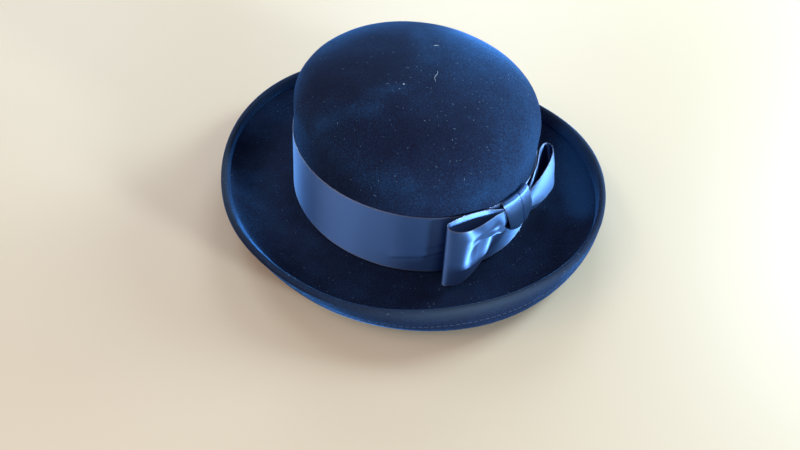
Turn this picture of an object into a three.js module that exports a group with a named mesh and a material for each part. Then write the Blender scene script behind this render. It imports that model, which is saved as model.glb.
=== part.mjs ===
import * as THREE from "three";

// A felt hat with a round crown, a turned-up brim and a ribbon bow, at rest on its brim.
// Millimetres, +Z up. The front is -Y and +X is the wearer's left. The origin is on the surface
// that the hat rests on, under the middle of its outline.
// Angles, in degrees, go round the head oval from the front towards +X. An offset is the distance
// out from the head oval, and a wall offset is the distance out from the felt of the crown's wall.

const HEAD_HALF_LENGTH = 100;
const HEAD_HALF_WIDTH = 87.4;
const FELT = 2.3;
const GAP = 0.3;

const CROWN_HEIGHT = 110.4;
const WALL_TOP = 71;
const WALL_TAPER = 0.03;
const FOOT_RADIUS = 3;

const REST_REACH = 24;
const HEM_DEPTH = 9.5;

const RIBBON_WIDTH = 45;
const RIBBON_FOOT = 5.4;
const BAND_THICKNESS = 0.9;
const BOW_THICKNESS = 1;
const BOW_ANGLE = 29.7;

const AROUND = 60;
const DOME_STEPS = 9;
const WALL_HEIGHTS = [71, 61, RIBBON_FOOT + RIBBON_WIDTH, 28, FOOT_RADIUS + FELT];
const FOOT_STEPS = 3;
const ROLL_STEPS = 7;
const HEM_STEPS = 3;
const EDGE_STEPS = 4;

// The turned-up brim, every 30 degrees: how far out its edge is, how high the edge stands, and how
// far out the under-side is drawn level before it turns up. Where the belly is wider than the reach,
// the brim curls in again at its edge.
const BRIM = [
  { angle: 0, reach: 51.2, height: 27, belly: 53.5 },
  { angle: 30, reach: 52, height: 30.1, belly: 50.2 },
  { angle: 60, reach: 51.9, height: 29.8, belly: 50.2 },
  { angle: 90, reach: 54.6, height: 25.3, belly: 50.7 },
  { angle: 120, reach: 53.5, height: 20.5, belly: 51 },
  { angle: 150, reach: 53.1, height: 22.3, belly: 52 },
  { angle: 180, reach: 52.7, height: 25.9, belly: 53.5 },
  { angle: 210, reach: 51.6, height: 28.6, belly: 55 },
  { angle: 240, reach: 49.8, height: 28.5, belly: 53 },
  { angle: 270, reach: 51.4, height: 24.8, belly: 48 },
  { angle: 300, reach: 56.2, height: 25.6, belly: 46.4 },
  { angle: 330, reach: 55.2, height: 22.6, belly: 51.3 },
];
const BELLY_BULGE = 1.5;
const BELLY_HEIGHT = 0.35;

// Soft dents of the crown: the middle of each on the felt, how far it spreads, and its depth. The
// first two are one long hollow to the right of the tip, and the third lies in front of it.
const DENTS = [
  { x: -28, y: 24, z: 108, spread: 25, depth: 1.9 },
  { x: -42, y: -6, z: 105, spread: 26, depth: 1.9 },
  { x: -52, y: -64, z: 84, spread: 20, depth: 1.1 },
];

// The pleat of the band beside the bow: the ribbon swells above a line that climbs towards the bow.
const PLEAT = { start: -26, end: -2, lowest: 8, climb: 14, swell: 0.8 };

// Each loop of the bow, from its back layer at the knot, round its outer fold, to its front layer at
// the knot. "along" is the distance from the bow's middle. The ribbon's top edge, the crease across
// it and its low edge each have a wall offset and a height.
const LEFT_LOOP = [
  { along: 1.6, topOut: 3.6, topUp: 46, creaseOut: 3.6, creaseUp: 36, lowOut: 3.6, lowUp: 32 },
  { along: 14, topOut: 3.5, topUp: 47, creaseOut: 3.5, creaseUp: 34, lowOut: 3.5, lowUp: 30.8 },
  { along: 23, topOut: 2.5, topUp: 50, creaseOut: 2.5, creaseUp: 28, lowOut: 2.5, lowUp: 19 },
  { along: 36, topOut: 2.1, topUp: 50.5, creaseOut: 2.1, creaseUp: 22, lowOut: 2.4, lowUp: 9 },
  { along: 47, topOut: 2.8, topUp: 50.5, creaseOut: 3.6, creaseUp: 20, lowOut: 5.5, lowUp: 6.5 },
  { along: 52.5, topOut: 6.4, topUp: 50.5, creaseOut: 8.5, creaseUp: 20, lowOut: 10.2, lowUp: 5.5 },
  { along: 52, topOut: 11.5, topUp: 50.3, creaseOut: 13.4, creaseUp: 20, lowOut: 14.4, lowUp: 5.5 },
  { along: 45, topOut: 14.2, topUp: 50, creaseOut: 15.8, creaseUp: 21, lowOut: 14.8, lowUp: 7 },
  { along: 36, topOut: 12.2, topUp: 49.4, creaseOut: 15.4, creaseUp: 24, lowOut: 13.6, lowUp: 12.5 },
  { along: 28, topOut: 8.8, topUp: 49, creaseOut: 13.2, creaseUp: 28.5, lowOut: 12.2, lowUp: 18.5 },
  { along: 20, topOut: 6.6, topUp: 48.6, creaseOut: 9.8, creaseUp: 31.5, lowOut: 8.2, lowUp: 27 },
  { along: 14, topOut: 5.5, topUp: 47, creaseOut: 6.1, creaseUp: 35, lowOut: 5.6, lowUp: 31 },
  { along: 1.6, topOut: 5.6, topUp: 46, creaseOut: 5.8, creaseUp: 36, lowOut: 5.6, lowUp: 32 },
];
const RIGHT_LOOP = [
  { along: 1.6, topOut: 3.6, topUp: 46, creaseOut: 3.6, creaseUp: 36, lowOut: 3.6, lowUp: 32 },
  { along: 15, topOut: 3.4, topUp: 47, creaseOut: 3.4, creaseUp: 34, lowOut: 3.4, lowUp: 30.5 },
  { along: 27, topOut: 2.4, topUp: 50.1, creaseOut: 2.5, creaseUp: 27, lowOut: 2.8, lowUp: 19 },
  { along: 42, topOut: 2.1, topUp: 50.5, creaseOut: 2.6, creaseUp: 20, lowOut: 4, lowUp: 9.5 },
  { along: 57, topOut: 2.5, topUp: 50.5, creaseOut: 6.5, creaseUp: 16, lowOut: 9, lowUp: 7 },
  { along: 67, topOut: 6, topUp: 50.5, creaseOut: 13, creaseUp: 15, lowOut: 14.8, lowUp: 6.5 },
  { along: 67.5, topOut: 10.6, topUp: 50.5, creaseOut: 18.2, creaseUp: 15, lowOut: 18.4, lowUp: 7 },
  { along: 61, topOut: 12.4, topUp: 50.4, creaseOut: 17.4, creaseUp: 15.5, lowOut: 16.8, lowUp: 9 },
  { along: 50, topOut: 10.4, topUp: 50, creaseOut: 12.8, creaseUp: 18, lowOut: 11.6, lowUp: 13 },
  { along: 38, topOut: 8.2, topUp: 49.5, creaseOut: 9.4, creaseUp: 22, lowOut: 8.2, lowUp: 17.5 },
  { along: 26, topOut: 6.2, topUp: 48.8, creaseOut: 7.6, creaseUp: 26.5, lowOut: 6.4, lowUp: 22.5 },
  { along: 15, topOut: 5.5, topUp: 47, creaseOut: 6, creaseUp: 33.5, lowOut: 5.6, lowUp: 30.5 },
  { along: 1.6, topOut: 5.6, topUp: 46, creaseOut: 5.8, creaseUp: 36, lowOut: 5.6, lowUp: 32 },
];
const LOOP_SECTIONS = 32;
const LANES_ABOVE_CREASE = 3;
const LANES_BELOW_CREASE = 2;

// The ribbon wrapped round the bow's middle: sections of the sleeve from left to right.
const KNOT = [
  { along: -12.5, back: 1.5, front: 8.2, low: 27.5, high: 49.5 },
  { along: -8, back: 1.5, front: 9.4, low: 26.5, high: 50 },
  { along: 0, back: 1.5, front: 9.8, low: 26, high: 50.2 },
  { along: 7, back: 1.5, front: 9, low: 26, high: 50.4 },
  { along: 9.5, back: 1.5, front: 9.8, low: 25.5, high: 50.6 },
  { along: 13.5, back: 1.5, front: 8.4, low: 25, high: 50 },
];
const KNOT_WALL = 1;
const KNOT_CORNER = 2.6;
const KNOT_POINTS = 20;

const radians = THREE.MathUtils.degToRad;

// The head oval: a point on it, and the direction straight out of it.
function oval(angle) {
  const turn = radians(angle);
  const point = new THREE.Vector2(HEAD_HALF_WIDTH * Math.sin(turn), -HEAD_HALF_LENGTH * Math.cos(turn));
  const out = new THREE.Vector2(Math.sin(turn) / HEAD_HALF_WIDTH, -Math.cos(turn) / HEAD_HALF_LENGTH);
  return { point, out: out.normalize() };
}

function place(angle, shrink, offset, height) {
  const { point, out } = oval(angle);
  const flat = point.multiplyScalar(shrink).addScaledVector(out, offset);
  return new THREE.Vector3(flat.x, flat.y, height);
}

// The crown's wall draws in evenly from its foot to its top.
function wallShrink(height) {
  return 1 - (WALL_TAPER * height) / WALL_TOP;
}

function onWall(angle, offset, height) {
  return place(angle, wallShrink(height), offset, height);
}

// The angle that lies a given length of oval away from the bow's middle.
function angleAlong(along) {
  const steps = 40;
  let turn = radians(BOW_ANGLE);
  for (let i = 0; i < steps; i++) {
    const pace = Math.hypot(HEAD_HALF_WIDTH * Math.cos(turn), HEAD_HALF_LENGTH * Math.sin(turn));
    turn += along / steps / pace;
  }
  return THREE.MathUtils.radToDeg(turn);
}

// A smooth value at any angle from a column of a table whose rows are evenly spaced round the hat.
function around(table, column, angle) {
  const spot = (angle / 360) * table.length;
  const first = Math.floor(spot);
  const u = spot - first;
  const [a, b, c, d] = [-1, 0, 1, 2].map((k) => table[(first + k + table.length) % table.length][column]);
  return b + 0.5 * u * (c - a + u * (2 * a - 5 * b + 4 * c - d + u * (3 * (b - c) + d - a)));
}

function dentDepth(point) {
  let depth = 0;
  for (const dent of DENTS) {
    const away = point.distanceTo(new THREE.Vector3(dent.x, dent.y, dent.z)) / dent.spread;
    depth += dent.depth * Math.exp(-away * away);
  }
  return depth;
}

// A closed surface that is made of rows of points joined by triangles.
class Surface {
  points = [];
  faces = [];

  row(points) {
    const first = this.points.length;
    this.points.push(...points);
    return points.map((_, i) => first + i);
  }

  join(rowA, rowB, isClosed = true) {
    const count = isClosed ? rowA.length : rowA.length - 1;
    for (let i = 0; i < count; i++) {
      const next = (i + 1) % rowA.length;
      this.faces.push([rowA[i], rowB[i], rowB[next]], [rowA[i], rowB[next], rowA[next]]);
    }
  }

  fan(tip, row, isTipFirst) {
    for (let i = 0; i < row.length; i++) {
      const next = (i + 1) % row.length;
      this.faces.push(isTipFirst ? [tip, row[i], row[next]] : [tip, row[next], row[i]]);
    }
  }

  volume() {
    let sum = 0;
    for (const [a, b, c] of this.faces) {
      sum += this.points[a].dot(this.points[b].clone().cross(this.points[c])) / 6;
    }
    return sum;
  }

  mesh(name, look) {
    const faces = this.volume() > 0 ? this.faces : this.faces.map(([a, b, c]) => [a, c, b]);
    const geometry = new THREE.BufferGeometry().setFromPoints(this.points);
    geometry.setIndex(faces.flat());
    geometry.computeVertexNormals();
    const mesh = new THREE.Mesh(geometry, new THREE.MeshStandardMaterial(look));
    mesh.name = name;
    return mesh;
  }
}

// The crown's section at one angle, from near its tip down to the foot. "lean" is the angle of the
// outward direction above level. "depth" is how far the point lies inside the outer surface.
function crownSection(angle, depth) {
  const topShrink = wallShrink(WALL_TOP);
  const rise = CROWN_HEIGHT - WALL_TOP;
  const { point } = oval(angle);
  const reach = point.length() * topShrink;
  const section = [];
  for (let i = 1; i < DOME_STEPS; i++) {
    const turn = radians(90 * (1 - i / DOME_STEPS));
    const height = WALL_TOP + rise * Math.sin(turn);
    const lean = Math.atan2(reach * Math.sin(turn), rise * Math.cos(turn));
    const shrink = topShrink * Math.cos(turn);
    const sink = depth + dentDepth(place(angle, shrink, 0, height));
    section.push(place(angle, shrink, -sink * Math.cos(lean), height - sink * Math.sin(lean)));
  }
  for (const height of WALL_HEIGHTS) {
    const sink = depth + dentDepth(onWall(angle, 0, height));
    section.push(onWall(angle, -sink, height));
  }
  return section;
}

// The rounded foot between crown and brim, "depth" under the upper surface.
function footSection(angle, depth) {
  const section = [];
  const radius = FOOT_RADIUS + depth;
  for (let i = 1; i <= FOOT_STEPS; i++) {
    const turn = radians((90 * i) / FOOT_STEPS);
    const height = FOOT_RADIUS + FELT - radius * Math.sin(turn);
    section.push(place(angle, 1, FOOT_RADIUS - radius * Math.cos(turn), height));
  }
  return section;
}

// The under-side of the brim at one angle, from the resting ring to the edge, as a Bezier curve.
function brimRoll(angle) {
  const reach = around(BRIM, "reach", angle);
  const height = around(BRIM, "height", angle) - FELT;
  const belly = around(BRIM, "belly", angle);
  return new THREE.CubicBezierCurve(
    new THREE.Vector2(REST_REACH, 0),
    new THREE.Vector2(belly, 0),
    new THREE.Vector2(belly + BELLY_BULGE, height * BELLY_HEIGHT),
    new THREE.Vector2(reach, height),
  );
}

// A point of the brim: a share of the way along its roll, and how deep into the felt from below.
function onRoll(angle, roll, share, lift) {
  const point = roll.getPoint(share);
  const tangent = roll.getTangent(share);
  return place(angle, 1, point.x - lift * tangent.y, point.y + lift * tangent.x);
}

// Upwards along the inner face, over the folded edge and down the outer face.
function brimSection(angle) {
  const roll = brimRoll(angle);
  const hem = 1 - HEM_DEPTH / roll.getLength();
  const hemShare = roll.getUtoTmapping(hem, null);
  const inner = [];
  const outer = [];
  for (let i = 0; i <= ROLL_STEPS; i++) {
    const share = (hemShare * i) / ROLL_STEPS;
    inner.push(onRoll(angle, roll, share, FELT));
    outer.push(onRoll(angle, roll, share, 0));
  }
  const fold = [];
  for (let i = 0; i < HEM_STEPS; i++) {
    fold.push(onRoll(angle, roll, hemShare + ((1 - hemShare) * i) / HEM_STEPS, 2 * FELT));
    outer.push(onRoll(angle, roll, hemShare + ((1 - hemShare) * (i + 1)) / HEM_STEPS, 0));
  }
  const end = roll.getPoint(1);
  const tangent = roll.getTangent(1);
  for (let i = 0; i <= EDGE_STEPS - 1; i++) {
    const turn = radians((180 * i) / EDGE_STEPS);
    const lift = FELT * (1 + Math.cos(turn));
    const rise = FELT * Math.sin(turn);
    const x = end.x - lift * tangent.y + rise * tangent.x;
    fold.push(place(angle, 1, x, end.y + lift * tangent.x + rise * tangent.y));
  }
  return [...inner, ...fold, ...outer.reverse()];
}

function feltBody() {
  const sections = [];
  for (let i = 0; i < AROUND; i++) {
    const angle = (360 * i) / AROUND;
    const upper = [...crownSection(angle, 0), ...footSection(angle, 0)];
    const under = [...crownSection(angle, FELT), ...footSection(angle, FELT)];
    sections.push([...upper, ...brimSection(angle), ...under.reverse()]);
  }
  const surface = new Surface();
  const rows = sections[0].map((_, i) => surface.row(sections.map((section) => section[i])));
  for (let i = 1; i < rows.length; i++) {
    surface.join(rows[i - 1], rows[i]);
  }
  const tip = new THREE.Vector3(0, 0, CROWN_HEIGHT);
  tip.z -= dentDepth(tip);
  const [outerTip, innerTip] = surface.row([tip, new THREE.Vector3(0, 0, tip.z - FELT)]);
  surface.fan(outerTip, rows[0], true);
  surface.fan(innerTip, rows.at(-1), false);
  return surface.mesh("felt_body", { color: 0x101a33, roughness: 0.95, metalness: 0 });
}

// How far the gathered band swells out at a point beside the bow.
function pleatSwell(angle, height) {
  const fromFront = ((angle + 180) % 360) - 180;
  const share = (fromFront - PLEAT.start) / (PLEAT.end - PLEAT.start);
  const line = RIBBON_FOOT + PLEAT.lowest + PLEAT.climb * share;
  return share > 0 && share < 1 && height > line ? PLEAT.swell * Math.sin(Math.PI * share) : 0;
}

function ribbonBand() {
  const surface = new Surface();
  const top = RIBBON_FOOT + RIBBON_WIDTH;
  const heights = [0, 0.25, 0.4, 0.55, 1].map((share) => RIBBON_FOOT + share * RIBBON_WIDTH);
  const ring = (height, offset) =>
    surface.row(Array.from({ length: AROUND }, (_, i) => {
      const angle = (360 * i) / AROUND;
      return onWall(angle, offset + (offset > GAP ? pleatSwell(angle, height) : 0), height);
    }));
  const rows = [ring(top, GAP), ring(RIBBON_FOOT, GAP)];
  rows.push(...heights.map((height) => ring(height, GAP + BAND_THICKNESS)));
  rows.forEach((row, i) => surface.join(row, rows[(i + 1) % rows.length]));
  return surface.mesh("ribbon_band", { color: 0x33507d, roughness: 0.4, metalness: 0 });
}

// A loop of the bow: ribbon of even thickness about the middle surface between the table's rails.
function bowLoop(name, table, side) {
  const rail = (out, up) =>
    new THREE.CatmullRomCurve3(table.map((row) => new THREE.Vector3(row.along, row[out], row[up])));
  const rails = [rail("topOut", "topUp"), rail("creaseOut", "creaseUp"), rail("lowOut", "lowUp")];
  const middle = [];
  for (let i = 0; i <= LOOP_SECTIONS; i++) {
    const [top, crease, low] = rails.map((curve) => curve.getPoint(i / LOOP_SECTIONS));
    const lanes = [];
    for (let lane = 0; lane < LANES_ABOVE_CREASE; lane++) {
      lanes.push(top.clone().lerp(crease, lane / LANES_ABOVE_CREASE));
    }
    for (let lane = 0; lane <= LANES_BELOW_CREASE; lane++) {
      lanes.push(crease.clone().lerp(low, lane / LANES_BELOW_CREASE));
    }
    middle.push(lanes.map((p) => onWall(angleAlong(side * p.x), p.y, p.z)));
  }
  const at = (i, lane) => {
    const row = middle[THREE.MathUtils.clamp(i, 0, LOOP_SECTIONS)];
    return row[THREE.MathUtils.clamp(lane, 0, row.length - 1)];
  };
  const surface = new Surface();
  const faces = [-1, 1].map((sign) =>
    middle.map((row, i) => row.map((point, lane) => {
      const onward = at(i + 1, lane).clone().sub(at(i - 1, lane));
      const across = at(i, lane + 1).clone().sub(at(i, lane - 1));
      const normal = onward.cross(across).normalize();
      return point.clone().addScaledVector(normal, (sign * BOW_THICKNESS) / 2);
    })));
  const rows = middle.map((_, i) => surface.row([...faces[0][i], ...faces[1][i].reverse()]));
  for (let i = 1; i < rows.length; i++) {
    surface.join(rows[i - 1], rows[i]);
  }
  const half = middle[0].length;
  const ends = (row) => [row.slice(0, half), row.slice(half).reverse()];
  const [firstFront, firstBack] = ends(rows[0]);
  const [lastFront, lastBack] = ends(rows.at(-1));
  surface.join(firstBack, firstFront, false);
  surface.join(lastFront, lastBack, false);
  return surface.mesh(name, { color: 0x3a62a0, roughness: 0.35, metalness: 0 });
}

// The knot's section is a rectangle with round corners in the plane of wall offset and height.
function knotOutline(row, inset) {
  const centreOut = (row.back + row.front) / 2;
  const centreUp = (row.low + row.high) / 2;
  const halfOut = (row.front - row.back) / 2 - inset;
  const halfUp = (row.high - row.low) / 2 - inset;
  const corner = KNOT_CORNER - inset;
  const points = [];
  const perCorner = KNOT_POINTS / 4;
  for (let i = 0; i < KNOT_POINTS; i++) {
    const quarter = Math.floor(i / perCorner);
    const turn = radians(90 * (quarter + (i % perCorner) / (perCorner - 1)));
    const signOut = quarter === 0 || quarter === 3 ? 1 : -1;
    const signUp = quarter < 2 ? 1 : -1;
    points.push([
      centreOut + signOut * (halfOut - corner) + corner * Math.cos(turn),
      centreUp + signUp * (halfUp - corner) + corner * Math.sin(turn),
    ]);
  }
  return points;
}

function bowKnot() {
  const surface = new Surface();
  const layers = [0, KNOT_WALL].map((inset) =>
    KNOT.map((row) => {
      const angle = angleAlong(row.along);
      return surface.row(knotOutline(row, inset).map(([out, up]) => onWall(angle, out, up)));
    }));
  const [outer, inner] = layers;
  for (let i = 1; i < KNOT.length; i++) {
    surface.join(outer[i - 1], outer[i]);
    surface.join(inner[i], inner[i - 1]);
  }
  surface.join(inner[0], outer[0]);
  surface.join(outer.at(-1), inner.at(-1));
  return surface.mesh("bow_knot", { color: 0x1f5fa8, roughness: 0.35, metalness: 0 });
}

const hat = new THREE.Group();
hat.add(
  feltBody(),
  ribbonBand(),
  bowLoop("bow_loop_left", LEFT_LOOP, -1),
  bowLoop("bow_loop_right", RIGHT_LOOP, 1),
  bowKnot(),
);
const outline = new THREE.Box3().setFromObject(hat).getCenter(new THREE.Vector3());
hat.position.set(-outline.x, -outline.y, 0);

export default hat;
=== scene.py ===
"""A felt hat with a turned-up brim and a ribbon bow.

Sizes are in millimetres and become metres in each mesh.
"""
import math
import random

import bpy
import numpy as np
from mathutils import Matrix, Vector, noise
from mathutils.bvhtree import BVHTree


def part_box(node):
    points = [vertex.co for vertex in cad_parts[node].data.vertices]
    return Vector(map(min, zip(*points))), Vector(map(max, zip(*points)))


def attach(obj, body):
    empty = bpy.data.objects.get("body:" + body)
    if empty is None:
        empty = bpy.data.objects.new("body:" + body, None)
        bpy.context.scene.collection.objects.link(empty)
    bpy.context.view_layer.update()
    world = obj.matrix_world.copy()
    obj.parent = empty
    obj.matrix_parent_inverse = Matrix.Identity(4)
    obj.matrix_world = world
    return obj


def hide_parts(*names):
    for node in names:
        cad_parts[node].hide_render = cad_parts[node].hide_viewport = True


MM = 0.001

# The felt.
HEAD_HALF_LENGTH = 100.0
HEAD_HALF_WIDTH = 87.4
FELT = 2.3
CROWN_HEIGHT = 110.4
WALL_TOP = 71.0
WALL_TAPER = 0.03
FOOT_RADIUS = 3.0
REST_REACH = 24.0
HEM_DEPTH = 9.5
BELLY_BULGE = 1.5
BELLY_HEIGHT = 0.35

# How finely the felt is drawn: degrees between its columns, and its rows.
COLUMN_STEP = 1.5
DOME_ROWS = 34
WALL_ROWS = 16
FOOT_ROWS = 6
BRIM_ROWS = 26
FOLD_ROWS = 9
EDGE_ROWS = 13
ROLL_SAMPLES = 81

# The felt of the crown is slightly uneven, but not under the ribbon.
UNEVEN_SIZE = 26
UNEVEN_DEPTH = 0.35
CALM_REACH = 8

# The folded edge swells a little between its seam and its rim, and its seam is drawn in.
FOLD_PUFF = 0.18
SEAM_DEPTH = 0.3
SEAM_WIDTH = 0.9
SEAM_SHIFT = 0.6

# The inner face at the seam: a groove, as depths in the felt and distances along the roll, and then the
# step up on to the folded edge, as shares of the felt's thickness and distances along the roll.
SEAM_GROOVE = ((0.1, -0.5), (0.35, -0.15), (0.2, 0.1))
FOLD_STEP = ((0.35, 0.12), (0.65, 0.3), (0.88, 0.65), (0.97, 1.1))

# How much paler the felt is painted along the brim's edge, as painted bounce light from the floor, and
# how far that reaches.
EDGE_PAINTED_LIGHT = 0.7
EDGE_PAINTED_LIGHT_REACH = 6.0

# The felt's colours, from the dark ground to the pale pile, between which the painted light and shade
# strokes also move it, and the paler, greyer felt of painted bounce light along the brim's edge.
FELT_GROUND = (0.0045, 0.0048, 0.0135, 1)
FELT_MIDDLE = (0.0066, 0.0110, 0.031, 1)
FELT_PILE = (0.011, 0.038, 0.105, 1)
# The paler, greyer felt along the brim's edge is painted bounce light from the floor.
FELT_PAINTED_BOUNCE = (0.030, 0.041, 0.062, 1)
FELT_SHEEN = (0.05, 0.21, 0.62, 1)
# How far the painted light and shade strokes, the mottling and the pile's grain each move the felt's
# colour.
NAP_AND_PAINTED_LIGHT_SHARE = 0.10
MOTTLE_SHARE = 0.20
PILE_SHARE = 0.62

# The turned-up brim, every 30 degrees from the front towards +X: the edge's reach, its height, and
# how far out the under-side is drawn level.
BRIM = [
    {"angle": 0, "reach": 51.2, "height": 27.0, "belly": 53.5},
    {"angle": 30, "reach": 52.0, "height": 30.1, "belly": 50.2},
    {"angle": 60, "reach": 51.9, "height": 29.8, "belly": 50.2},
    {"angle": 90, "reach": 54.6, "height": 25.3, "belly": 50.7},
    {"angle": 120, "reach": 53.5, "height": 20.5, "belly": 51.0},
    {"angle": 150, "reach": 53.1, "height": 22.3, "belly": 52.0},
    {"angle": 180, "reach": 52.7, "height": 25.9, "belly": 53.5},
    {"angle": 210, "reach": 51.6, "height": 28.6, "belly": 55.0},
    {"angle": 240, "reach": 49.8, "height": 28.5, "belly": 53.0},
    {"angle": 270, "reach": 51.4, "height": 24.8, "belly": 48.0},
    {"angle": 300, "reach": 56.2, "height": 25.6, "belly": 46.4},
    {"angle": 330, "reach": 55.2, "height": 22.6, "belly": 51.3},
]

# Soft dents of the crown: the middle of each on the felt, how far it spreads, and its depth.
DENTS = [
    {"x": -28, "y": 24, "z": 108, "spread": 25, "depth": 1.9},
    {"x": -42, "y": -6, "z": 105, "spread": 26, "depth": 1.9},
    {"x": -52, "y": -64, "z": 84, "spread": 20, "depth": 1.1},
]

# Places where the felt's colour is made lighter (above 0) or darker (below 0): a stroke from one place on
# the felt to another, how wide it is, and how strong. They are partly brushed pile and partly painted
# light and shade: painted shade in the hollows of the dents at the crown's upper left, painted highlights
# on the ridges beside them, and painted light on the right of the crown and of the brim.
NAP_AND_PAINTED_LIGHT_STROKES = [
    {"from": (-60, 4, 97), "to": (-18, 14, 109), "width": 20, "tone": -0.9},
    {"from": (-48, -18, 102), "to": (-30, -14, 107), "width": 14, "tone": -0.6},
    {"from": (-40, -34, 103), "to": (-21, -36, 106), "width": 5, "tone": 0.9},
    {"from": (-74, -36, 86), "to": (-40, -47, 100), "width": 6, "tone": 0.8},
    {"from": (-70, -56, 76), "to": (-24, -94, 68), "width": 9, "tone": 0.8},
    {"from": (6, 34, 107), "to": (3, -6, 110), "width": 8, "tone": 0.8},
    {"from": (30, 4, 108), "to": (48, -55, 94), "width": 26, "tone": 0.5},
    {"from": (16, -95, 64), "to": (62, -62, 74), "width": 16, "tone": 1.2},
    {"from": (-25, -72, 96), "to": (5, -82, 92), "width": 20, "tone": -0.6},
    {"from": (-84, 0, 78), "to": (-72, -44, 80), "width": 9, "tone": 0.5},
    {"from": (-88, -92, 3), "to": (-52, -114, 3), "width": 9, "tone": 0.2},
    {"from": (118, -56, 5), "to": (136, 12, 17), "width": 14, "tone": 3.4},
    {"from": (-126, -30, 4), "to": (-124, 20, 4), "width": 16, "tone": 0.8},
]

# The stitches of the folded edge, and specks and hairs on the pile: each hair by points near the felt.
ROD_FACES = ((0, 3, 2, 1), (4, 5, 6, 7), (0, 1, 5, 4), (1, 2, 6, 5), (2, 3, 7, 6), (3, 0, 4, 7))
STITCHES = 250
STITCH_SHARE = 0.66
STITCH_SINK = 0.12
STITCH_THICKNESS = 0.36
SPECKS = 700
SPECK_LENGTHS = (0.3, 0.4, 0.5, 0.6, 0.8, 1.3)
SPECK_THICKNESSES = (0.10, 0.15)
SPECK_LIFT = 0.1
HAIR_LIFT = 0.3
HAIR_STEPS = 5
THREAD_COLOUR = (0.014, 0.028, 0.065)
SPECK_COLOUR = (0.09, 0.15, 0.24)
HAIR_COLOUR = (0.28, 0.34, 0.40)

# Specks lie where the felt faces up more than a slope, which is lower on the crown, above a height,
# than on the brim. They lie thicker towards the right and the front.
CROWN_SPECKS_ABOVE = 56
CROWN_SLOPE = 0.05
BRIM_SLOPE = 0.3
SPECKS_RIGHT = 1.6
SPECKS_LEFT = 0.6
HAIRS = [
    {"points": [(11, 6, 110), (12.6, 6.4, 110), (14.2, 5.8, 110)], "thickness": 0.24},
    {"points": [(4, -26, 110), (3, -29, 109), (0.5, -32, 109), (0, -36, 108)], "thickness": 0.14},
    {"points": [(-20.4, -34, 107), (-20, -34.2, 107), (-19.6, -34, 107)], "thickness": 0.5},
    {"points": [(52, -58, 84), (54, -61, 82), (57, -61, 80)], "thickness": 0.14},
    {"points": [(30, -70, 88), (33, -71, 86), (35, -69, 86)], "thickness": 0.12},
]

# The ribbon.
SATIN_EDGE = (0.14, 0.18, 0.32, 1)
SATIN_FACE = (0.074, 0.157, 0.385, 1)
RIBBON_WIDTH = 45.0
RIBBON_FOOT = 5.4
RIBBON_THICKNESS = 0.5
BAND_STAND_OFF = 0.6
BAND_COLUMN_STEP = 1.0
BAND_LANES = 61
BAND_RIPPLE = 0.12
BAND_RIPPLE_SIZE = 18
BOW_ANGLE = 29.7
ANGLE_STEPS = 40

# The band's pleats beside the bow. Each starts at an angle and a share of the ribbon's width, and
# climbs to another share at its end. The ribbon above it overlaps the ribbon below it.
PLEATS = [
    {"start": -26, "end": 6, "from": 0.20, "to": 0.46, "lap": 1.5, "width": 0.05},
    {"start": -16, "end": 6, "from": 0.44, "to": 0.60, "lap": 0.6, "width": 0.07},
]
# A pleat fades out towards its ends, steps up within a share of its own width, falls off above over a
# share of the ribbon's width, and draws the ribbon in just below its step.
PLEAT_FADE = 0.7
PLEAT_STEP = 0.12
PLEAT_FALL = 0.22
PLEAT_DRAW_IN = 0.3
PLEAT_DRAW_REACH = 0.03

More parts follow.
